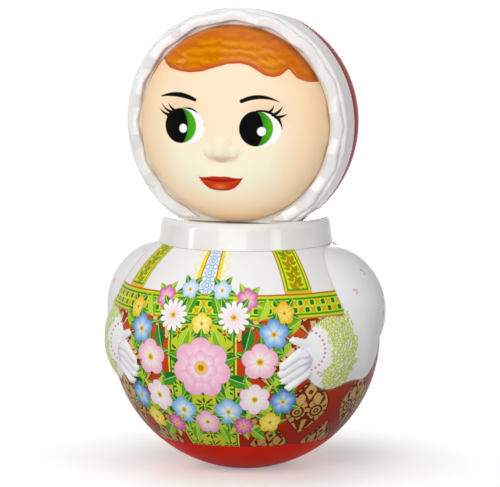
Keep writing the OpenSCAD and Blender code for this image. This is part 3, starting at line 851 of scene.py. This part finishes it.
def makeBody():
    fine = np.linspace(doll["split"], collarZ, 3000)
    levels = evenPoints(bodyRadius(fine), fine, arms["rings"])[1]
    section = list(zip(bodyRadius(levels), levels))
    seamTop = doll["split"] + arms["seam"]
    section[0] = (section[0][0] - arms["seam"], doll["split"])
    section.insert(1, (float(bodyRadius(seamTop)), seamTop))
    inside = np.linspace(collarZ, doll["split"], 26)
    section += [(math.sqrt(roomR ** 2 - (z - roomZ) ** 2), z) for z in inside]
    bm = spun(section, arms["steps"])
    points = places(bm)
    reach = np.hypot(points[:, 0], points[:, 1])
    base = bodyRadius(points[:, 2])
    outside = (reach > base - arms["skin"]) & (points[:, 2] > doll["split"] + arms["footKeep"])
    outside &= points[:, 2] < collarZ - arms["topKeep"]
    turn = np.arctan2(points[:, 0], -points[:, 1])
    first, last = arms["turns"]
    aim = np.column_stack([np.sin(turn), -np.cos(turn), np.zeros(len(turn))])
    level = np.column_stack([np.zeros(len(turn)), np.zeros(len(turn)), points[:, 2]])
    deepest = base - arms["probeIn"]
    far = deepest.copy()
    cloth = np.full(len(turn), 5.0)
    hand = np.full(len(turn), 9.0)
    groove = np.full(len(turn), 9.0)
    near = outside & (np.abs(turn) > first) & (np.abs(turn) < last) & (points[:, 2] > arms["foot"])
    probe = np.full(near.sum(), arms["probeFrom"])
    for _ in range(arms["probeSteps"]):  # walks in from outside until it meets the arm
        cloth[near], hand[near], groove[near] = armGaps(level[near] + aim[near] * probe[:, None])
        gap = softMin(cloth[near], hand[near], arms["handBlend"])
        probe = np.maximum(probe - arms["probeShare"] * gap, deepest[near])
    far[near] = probe
    rise = np.clip(far - base, -4, 12)
    raised = softMax(base, np.where(rise > -3.5, far, 0), arms["bodyBlend"])
    moved = np.where(outside, raised, reach)
    points[:, 0] = moved * np.sin(turn)
    points[:, 1] = -moved * np.cos(turn)
    keepValues(bm, arm=rise, hand=np.clip(cloth - hand, -6, 6), groove=groove)
    moveTo(bm, points)
    makePiece("bodyShell", bm, dressFinish(), "root", ["body_front", "body_back"], 50)


# printed dress, heights in mm, turns in degrees
dress = {
    "belt": (99.2, 113.6), "strapTurn": 44.5, "placket": 4.1, "apron": 15.3,
    "cells": 11, "cellWide": 27.0, "cellTall": 46.0, "cellScale": 1.36, "cellUp": 5.0, "band": 2.9,
    "cuff": (44.0, 81.0), "lace": (17.5, 38.5), "cuffDots": 12.5, "strapHalf": 9.0, "strapTaper": 0.06,
    "braidPitch": 7.0, "gemPitch": 8.0, "apronPitch": 11.0, "checkPitch": 5.9, "degreeWide": 1.38,
    "curls": [(91, 96), (85, 70), (46, 96), (51, 66), (84, 122), (100, 112), (74, 112), (98, 80)],
}
# posy, mirrored left and right: turn, height, radius, petals, notch,
# then the colours of rim, inside and middle
blooms = [
    (36, 103, 6.5, 5, 0.22, "EFC01A", "F9EA78", "B9780E"),
    (20, 111, 6.5, 6, 0.30, "D65AA6", "F6C3DE", "F2D24A"),
    (8, 116, 5.5, 5, 0.24, "A9CDF2", "E8F3FC", "F0C93A"),
    (31, 91, 9.0, 5, 0.26, "5A9ADF", "CFE6FA", "F7EC8A"),
    (14, 101, 9.5, 13, 0.42, "FCFBFC", "F0DDEB", "EFC42E"),
    (25, 75, 11.0, 5, 0.22, "F3B4CF", "FDF0F4", "E9CE5C"),
    (36, 50, 8.0, 5, 0.26, "3F7FD2", "B4D8F7", "F6EE9A"),
    (23, 52, 9.5, 6, 0.24, "F6D7E6", "FEFAFC", "E6C44A"),
    (31, 37, 6.5, 5, 0.22, "F2CC28", "FBEF8C", "C78A14"),
    (11, 44, 8.5, 5, 0.26, "6FAEE8", "DDEFFC", "F3DC5C"),
    (18, 35, 6.0, 8, 0.34, "C83A98", "F09CCB", "F6DE5E"),
    (0, 37, 7.5, 5, 0.24, "F0A2C6", "FCE6EF", "E9C64E"),
    (0, 97, 6.5, 5, 0.24, "F4D63A", "FCF3A8", "C98A12"),
    (0, 71, 18.0, 7, 0.17, "F2B0CD", "FDF1F5", "D9559C"),
]
# single leaves, mirrored too: turn, height, length, width, lean from upright, colours of the halves
leaves = [
    (39, 95, 15, 7.5, 60, "A8CC1E", "6FAE1A"),
    (27, 105, 14, 7.0, 25, "C2DA3A", "86BC22"),
    (6, 108, 13, 6.0, -20, "8CC022", "4E9A1E"),
    (34, 82, 16, 8.0, 55, "9CC820", "5FA41C"),
    (20, 88, 15, 7.5, 15, "2E8C2A", "1A6A22"),
    (8, 87, 15, 7.0, -25, "B4D22C", "7FB61E"),
    (16, 63, 15, 8.0, 110, "3C9A28", "1F7422"),
    (33, 64, 17, 8.5, 115, "AFD02A", "70AE1C"),
    (35, 58, 14, 7.0, 75, "2F8A30", "1A6A22"),
    (29, 45, 15, 7.5, 125, "9FCA22", "60A61E"),
    (17, 43, 14, 7.0, 155, "2F8E2C", "1C6A20"),
    (25, 30, 13, 6.0, 130, "8EC222", "559E1E"),
    (9, 55, 14, 7.0, 40, "B8D634", "84BA20"),
    (8, 29, 12, 6.0, 165, "A6CC26", "6CAC1E"),
]


def leafMask(across, up, size, wide, lean):
    a = math.radians(lean)
    along = across * math.sin(a) + up * math.cos(a)
    side = across * math.cos(a) - up * math.sin(a)
    share = along / (size / 2)
    return (1 - share * share) * (wide / 2) - abs(side), side


# skirt: a half-drop damask of palmettes between plain wavy bands
def skirtPaint(place, degrees, run, z):
    wide, tall = dress["cellWide"], dress["cellTall"]
    flat = abs((degrees * (wide * dress["cells"] / 360)).repeat(wide))
    run = (run + dress["cellUp"]) / dress["cellScale"]
    wave = ((run * (math.tau / tall)).calc("COSINE") + 1) * (wide / 4)
    gap = flat - wave
    first = (-gap).soft(0.01)
    a = flat * first + (wide / 2 - flat) * (1 - first)
    b = run.repeat(tall) * first + (run + tall / 2).repeat(tall) * (1 - first)
    comma = lengthOf(a - 6.2, b + 0.5)
    eye = lengthOf(a - 4.3, b + 1.8)
    lobes = ((a - 4.3).calc("ARCTAN2", b + 1.8) * 9).calc("COSINE") * 0.9 + 0.55
    leaf = (6.4 - comma).least(eye - 2.9).least(lobes).most(0.3 - abs(eye - 3.3))
    curl = 0.55 - abs(eye - 1.7)
    seed = 0.7 - eye
    bud = 3.0 - a * 1.1 - abs(b - 8.5) * 0.62
    bud = bud.least(lengthOf(a, b - 8.0) - 0.9)
    spike = 1.5 - a - abs(b - 14.5) * 0.36
    fanUp = b + 16.5
    fanFar = lengthOf(a, fanUp)
    fanTurn = a.calc("ARCTAN2", fanUp)
    ribs = (fanTurn * 11.0).calc("COSINE") * 1.5 + 0.9 - fanFar * 0.12
    fan = ribs.least(10.5 - fanFar - fanTurn * fanTurn * 1.6).least(fanFar - 2.2)
    drop = 1.8 - lengthOf(a - 3.4, (b - 4.6) * 0.6)
    wisp = 0.6 - abs(lengthOf(a - 9.2, b - 6.5) - 2.4)
    figure = leaf.most(curl).most(seed).most(bud).most(spike).most(fan).most(drop).most(wisp)
    edge = abs(gap) * 0.82
    bead = 0.55 - lengthOf(edge - dress["band"] - 0.9, run.repeat(2.0))
    figure = figure.least(edge - dress["band"] - 0.4).most(bead)
    # depth: darker towards the bottom, lighter under the belt
    depth = z.ease(22, 98)
    # painted shade: the ground, stripe and tan all darken towards the skirt's sides, away from the front
    side = abs(degrees).ease(36, 100)
    ground = colourFrom(place, depth, ink("74170A"), ink("9A3212")).over(side * 0.6, ink("3A0A06"))
    stripe = colourFrom(place, depth, ink("A4200E"), ink("CC4A18")).over(side * 0.6, ink("5E120A"))
    tan = colourFrom(place, depth, ink("C29650"), ink("EBC07C")).over(side * 0.5, ink("8A6432"))
    skirt = ground.over((dress["band"] - edge).soft(0.2), stripe)
    skirt = skirt.over((figure + 0.2).soft(0.2), ink("3A0C05"))
    return skirt.over((figure - 0.15).soft(0.15), tan)


# apron panel down the front, mostly behind the posy
def apronPaint(place, degrees, away, run):
    panel = dress["apron"]
    a = degrees.repeat(panel * 2 / 3) * 1.1
    b = (run + 66).repeat(dress["apronPitch"])
    far = lengthOf(a, b)
    ray = (a.calc("ARCTAN2", b) * 8).calc("COSINE")
    apron = colourFrom(place, noise(place, 90.0), ink("D2D636"), ink("B4C428"))
    apron = apron.over((ray * 1.6 + 3.4 - far).soft(0.25), ink("2F6A16"))
    apron = apron.over((ray * -1.0 + 1.9 - far).soft(0.25), ink("C8D83A"))
    apron = apron.over((0.9 - far).soft(0.2), ink("C23A1E"))
    apron = apron.over((0.8 - lengthOf(a - 3.9, b - 3.9)).soft(0.2), ink("C8401E"))
    apron = apron.over((away - panel + 1.5).soft(0.15), ink("2E7A22"))
    return apron.over((away - panel + 0.7).soft(0.15), ink("E2E24A"))


# straps: a leafy braid between coloured lines
def strapPaint(place, strapAt, inside, run, foot):
    strap = colourFrom(place, noise(place, 150.0), ink("DDE62A"), ink("C6DA1C"))
    pitch = dress["braidPitch"]
    braid = 0.5 - abs(strapAt - (run * (math.tau / pitch)).calc("SINE") * 0.9)
    for side, step in ((1, 0.0), (-1, pitch / 2)):
        v = (run + step).repeat(pitch)
        braid = braid.most(leafMask(strapAt * side - 2.4, v - 0.6, 5.4, 2.2, 38)[0])
        braid = braid.most(leafMask(strapAt * side - 2.6, v + 2.2, 3.6, 1.5, 75)[0])
    tint = colourFrom(place, noise(place, 260.0).ease(0.4, 0.6), ink("7E9A10"), ink("C58A10"))
    strap = strap.over((braid + 0.25).soft(0.15), ink("8A7A0C")).over(braid.soft(0.12), tint)
    strap = strap.over(inside.between(1.8, 2.8), ink("4FA018"))
    strap = strap.over(inside.between(0.7, 1.8), ink("E6DC3C"))
    strap = strap.over((0.75 - inside).soft(), ink("C4741A"))
    strap = strap.over(foot.between(1.6, 2.7) * (inside - 1.8).soft(), ink("4FA018"))
    return strap.over((1.6 - foot).soft(), ink("E4B83C"))


# blouse with its placket
def blousePaint(place, away, run):
    half = dress["placket"]
    cloth = colourFrom(place, noise(place, 40.0), ink("F2F1EF"), ink("ECEBEA"))
    lattice = away * 1.15
    gem = abs(run.repeat(dress["gemPitch"]))
    cloth = cloth.over((3.3 - lattice - gem * 0.95).soft() * 0.5, ink("D5ECF8"))
    lace = 0.36 - abs(lattice + gem * 0.95 - 3.3)
    dot = 0.3 - abs(lengthOf(lattice, gem * 0.8) - 1.1)
    twig = 0.3 - abs(lengthOf(lattice - 2.6, gem - 4.0) - 1.5)
    cloth = cloth.over(lace.most(dot).most(twig).soft(0.2), ink("7FB4DC"))
    cloth = cloth.over((half + 2.2 + gem - away).soft(0.3) * (away - half).soft(0.2) * 0.45, ink("F7F1A8"))
    cloth = cloth.over((0.45 - abs(away - half - 2.6 - gem)).soft(0.25) * 0.85, ink("EFE88A"))
    cloth = cloth.over(away.between(half, half + 2.2, 0.15), ink("F2D83A"))
    return cloth.over(away.between(half - 0.35, half + 0.35, 0.15), ink("B8822A"))


# belt: lines above and below two rows of checks
def beltPaint(place, degrees, v, top):
    belt = colourFrom(place, noise(place, 120.0), ink("D6DE2C"), ink("C0D622"))
    pitch, scale = dress["checkPitch"], dress["degreeWide"]
    row = (v - top / 2).soft(0.05)
    col = (degrees + row * (pitch / 2)).repeat(pitch) * scale
    other = (degrees + row * (pitch / 2) + pitch / 2).repeat(pitch) * scale
    level = abs(v - top / 2) - 2.0
    square = 1.45 - lengthOf(col * col * 0.8, level * level * 0.8).calc("SQRT") * 1.1
    crossed = (0.5 - abs(abs(other) - abs(level))).least(1.6 - abs(other).most(abs(level)))
    rows = v.between(3.2, top - 3.2)
    belt = belt.over((square + 0.4).soft() * rows * 0.6, ink("F0F070"))
    belt = belt.over(square.soft() * rows, ink("1F7E16"))
    belt = belt.over(crossed.soft() * rows, ink("E0901A"))
    belt = belt.over(v.between(2.1, 3.2), ink("4CA01A"))
    belt = belt.over(v.between(top - 3.3, top - 2.2), ink("3F961A"))
    return belt.over((0.9 - v).soft(), ink("D4782A")).over((v - top + 0.9).soft(), ink("C4701C"))


# posy: leaves behind, flowers in front
def posyPaint(place, paint, turn, reach, z):
    mirrored = abs(turn)
    for leafTurn, leafUp, size, wide, lean, light, dark in leaves:
        mask, side = leafMask((mirrored - math.radians(leafTurn)) * reach, z - leafUp, size, wide, lean)
        tint = colourFrom(place, side.soft(0.9), ink(dark), ink(light))
        tint = tint.over((0.2 - abs(side)).soft(0.15) * 0.7, ink("E2EE9A"))
        paint = paint.over(mask.soft(0.15), tint)
    for bloomTurn, bloomUp, size, count, notch, rim, inside, middle in blooms:
        across = (mirrored - math.radians(bloomTurn)) * reach if bloomTurn else turn * reach
        up = z - bloomUp
        far = lengthOf(across, up)
        spin = across.calc("ARCTAN2", up)
        # a star of pointed leaves behind the flower
        star = size * 1.2 + 3.0
        split = (spin + bloomTurn * 0.4).repeat(math.tau / 5)
        mask = (1 - abs(split * (5 / math.pi)).calc("POWER", 0.7) * 0.62) * star - far
        dark, light = ("2A7E22", "4FA028") if count % 2 else ("86B81E", "B6D430")
        tint = colourFrom(place, (split * star).soft(0.6), ink(dark), ink(light))
        tint = tint.over((0.25 - abs(split) * far).soft(0.2) * 0.7, ink("D6E888"))
        paint = paint.over(mask.soft(0.15), tint)
        share = abs(spin.repeat(math.tau / count)) / (math.pi / count)
        mask = (1 - share.calc("POWER", 2.4) * notch) * size - far
        tint = colourFrom(place, (far / size).ease(0.2, 1.0), ink(inside), ink(rim))
        tint = tint.over((share * share) * (share * share) * 0.55, ink(rim))
        tint = tint.over((0.14 - share).soft(0.2) * (1 - far / size) * 0.8, ink(middle))
        if size > 12:
            ring = (1 - share.calc("POWER", 2.4) * 0.2) * (size * 0.58) - far
            tint = tint.over(ring.soft(0.2) * 0.75, ink(rim))
            tint = tint.over((ring - 0.6).ease(0, 7) * 0.9, ink("FDF3F7"))
            tint = tint.over((size * 0.3 - far).ease(0, 2.5) * 0.8, ink(middle))
        tint = tint.over((size * 0.2 - far).soft(0.3), ink("F2CE40"))
        tint = tint.over((size * 0.11 - far).soft(0.3), ink("C98A1A"))
        paint = paint.over((mask + 0.25).soft(0.2) * 0.5, ink("6E3A5A")).over(mask.soft(0.15), tint)
    return paint


# sleeve: leafy lace round the cuff, a row of dots and small scattered curls
def sleevePaint(place, away, reach, z):
    sleeve = colourFrom(place, noise(place, 45.0), ink("F1F1F0"), ink("E9E9EA"))
    cuffTurn, cuffUp = dress["cuff"]
    a = arcFrom(away, cuffTurn, reach)
    b = z - cuffUp
    far = lengthOf(a, b)
    bend = b.calc("ARCTAN2", a)
    laceIn, laceOut = dress["lace"]
    ragged = noise(place, 170.0, 2.0) * 12.0 - 6.0
    lace = (far + ragged).between(laceIn, laceOut, 0.5) * (1.1 - abs(bend - 0.1) + ragged * 0.04).soft(0.05)
    along = bend * 27 + ragged * 0.5
    leaf = None
    for shift, lean in ((0.0, 42), (1.9, -38)):
        u = (along + shift + ragged * 0.6).repeat(4.9)
        v = (far + ragged * 0.5 + shift * 1.3).repeat(5.0)
        part = leafMask(u, v, 5.6, 1.9, lean)[0]
        leaf = part if leaf is None else leaf.most(part)
    sleeve = sleeve.over(lace * 0.3, ink("F0F3D6"))
    sleeve = sleeve.over(lace * (leaf + 0.3).soft(0.2), ink("9DAE3E"))
    sleeve = sleeve.over(lace * leaf.soft(0.15), ink("C6D852"))
    sleeve = sleeve.over(lace * (leaf - 0.55).soft(0.25) * 0.8, ink("EEF3B8"))
    beads = (bend * 30.0).calc("SINE")
    bead = (0.75 - lengthOf(far - dress["cuffDots"], (1 - beads) * 0.7)).soft(0.2)
    sleeve = sleeve.over(bead * (1.25 - abs(bend)).soft(0.05) * 0.8, ink("C9708E"))
    for curlTurn, curlUp in dress["curls"]:
        p = arcFrom(away, curlTurn, reach)
        q = z - curlUp
        curl = 0.45 - abs(lengthOf(p, q) - 1.3)
        sleeve = sleeve.over(curl.soft(0.2) * (p + q * 0.5 + 0.8).soft(0.3) * 0.7, ink("D88AA6"))
    return sleeve


def dressFinish():
    finish, shader, place = newFinish("printedDress", Specular_IOR_Level=0.05)
    x, y, z = axesOf(place)
    turn = x.calc("ARCTAN2", -y)
    degrees = turn * (180 / math.pi)
    away = abs(degrees)
    reach = lengthOf(x, y)
    run = ((z - centreH) / doll["bodyR"]).most(-1.0).least(1.0).calc("ARCSINE") * doll["bodyR"]
    low, high = dress["belt"]
    skirt = skirtPaint(place, degrees, run, z)
    skirt = skirt.over((dress["apron"] - away).soft(0.1), apronPaint(place, degrees, away, run))
    cloth = blousePaint(place, away, run)
    strapAt = arcFrom(away, dress["strapTurn"], reach)
    inside = dress["strapHalf"] - (z - high) * dress["strapTaper"] - abs(strapAt)
    cloth = cloth.over(inside.soft(), strapPaint(place, strapAt, inside, run, z - high))
    paint = skirt.over((z - high).soft(), cloth)
    paint = paint.over(z.between(low, high), beltPaint(place, degrees, z - low, high - low))
    paint = posyPaint(place, paint, turn, reach, z)
    arm = pointValue(place, "arm")
    hand = pointValue(place, "hand")
    groove = pointValue(place, "groove")
    sleeve = sleevePaint(place, away, reach, z)
    fingers = colourFrom(place, noise(place, 60.0), ink("F5F4F5"), ink("EBE9ED"))
    # painted shade: grey-lilac in the grooves between the fingers
    fingers = fingers.over((1 - groove.ease(0.0, 1.3)) * 0.65, ink("A8A4B4"))
    sleeve = sleeve.over((hand - 0.1).soft(0.25), fingers)
    # painted shade: a soft grey line where the raised sleeve meets the body
    paint = paint.over((0.5 - abs(arm)).soft(0.5) * 0.35, ink("8A8580"))
    paint = paint.over((arm - 0.15).soft(0.2), sleeve)
    feed(place, shader, Base_Color=paint)
    feed(place, shader, Roughness=noise(place, 420.0, 4.0) * 0.08 + 0.3)
    grain(place, shader, 600.0, 0.02, 0.0001)
    return finish


makeBody()
print("body made")
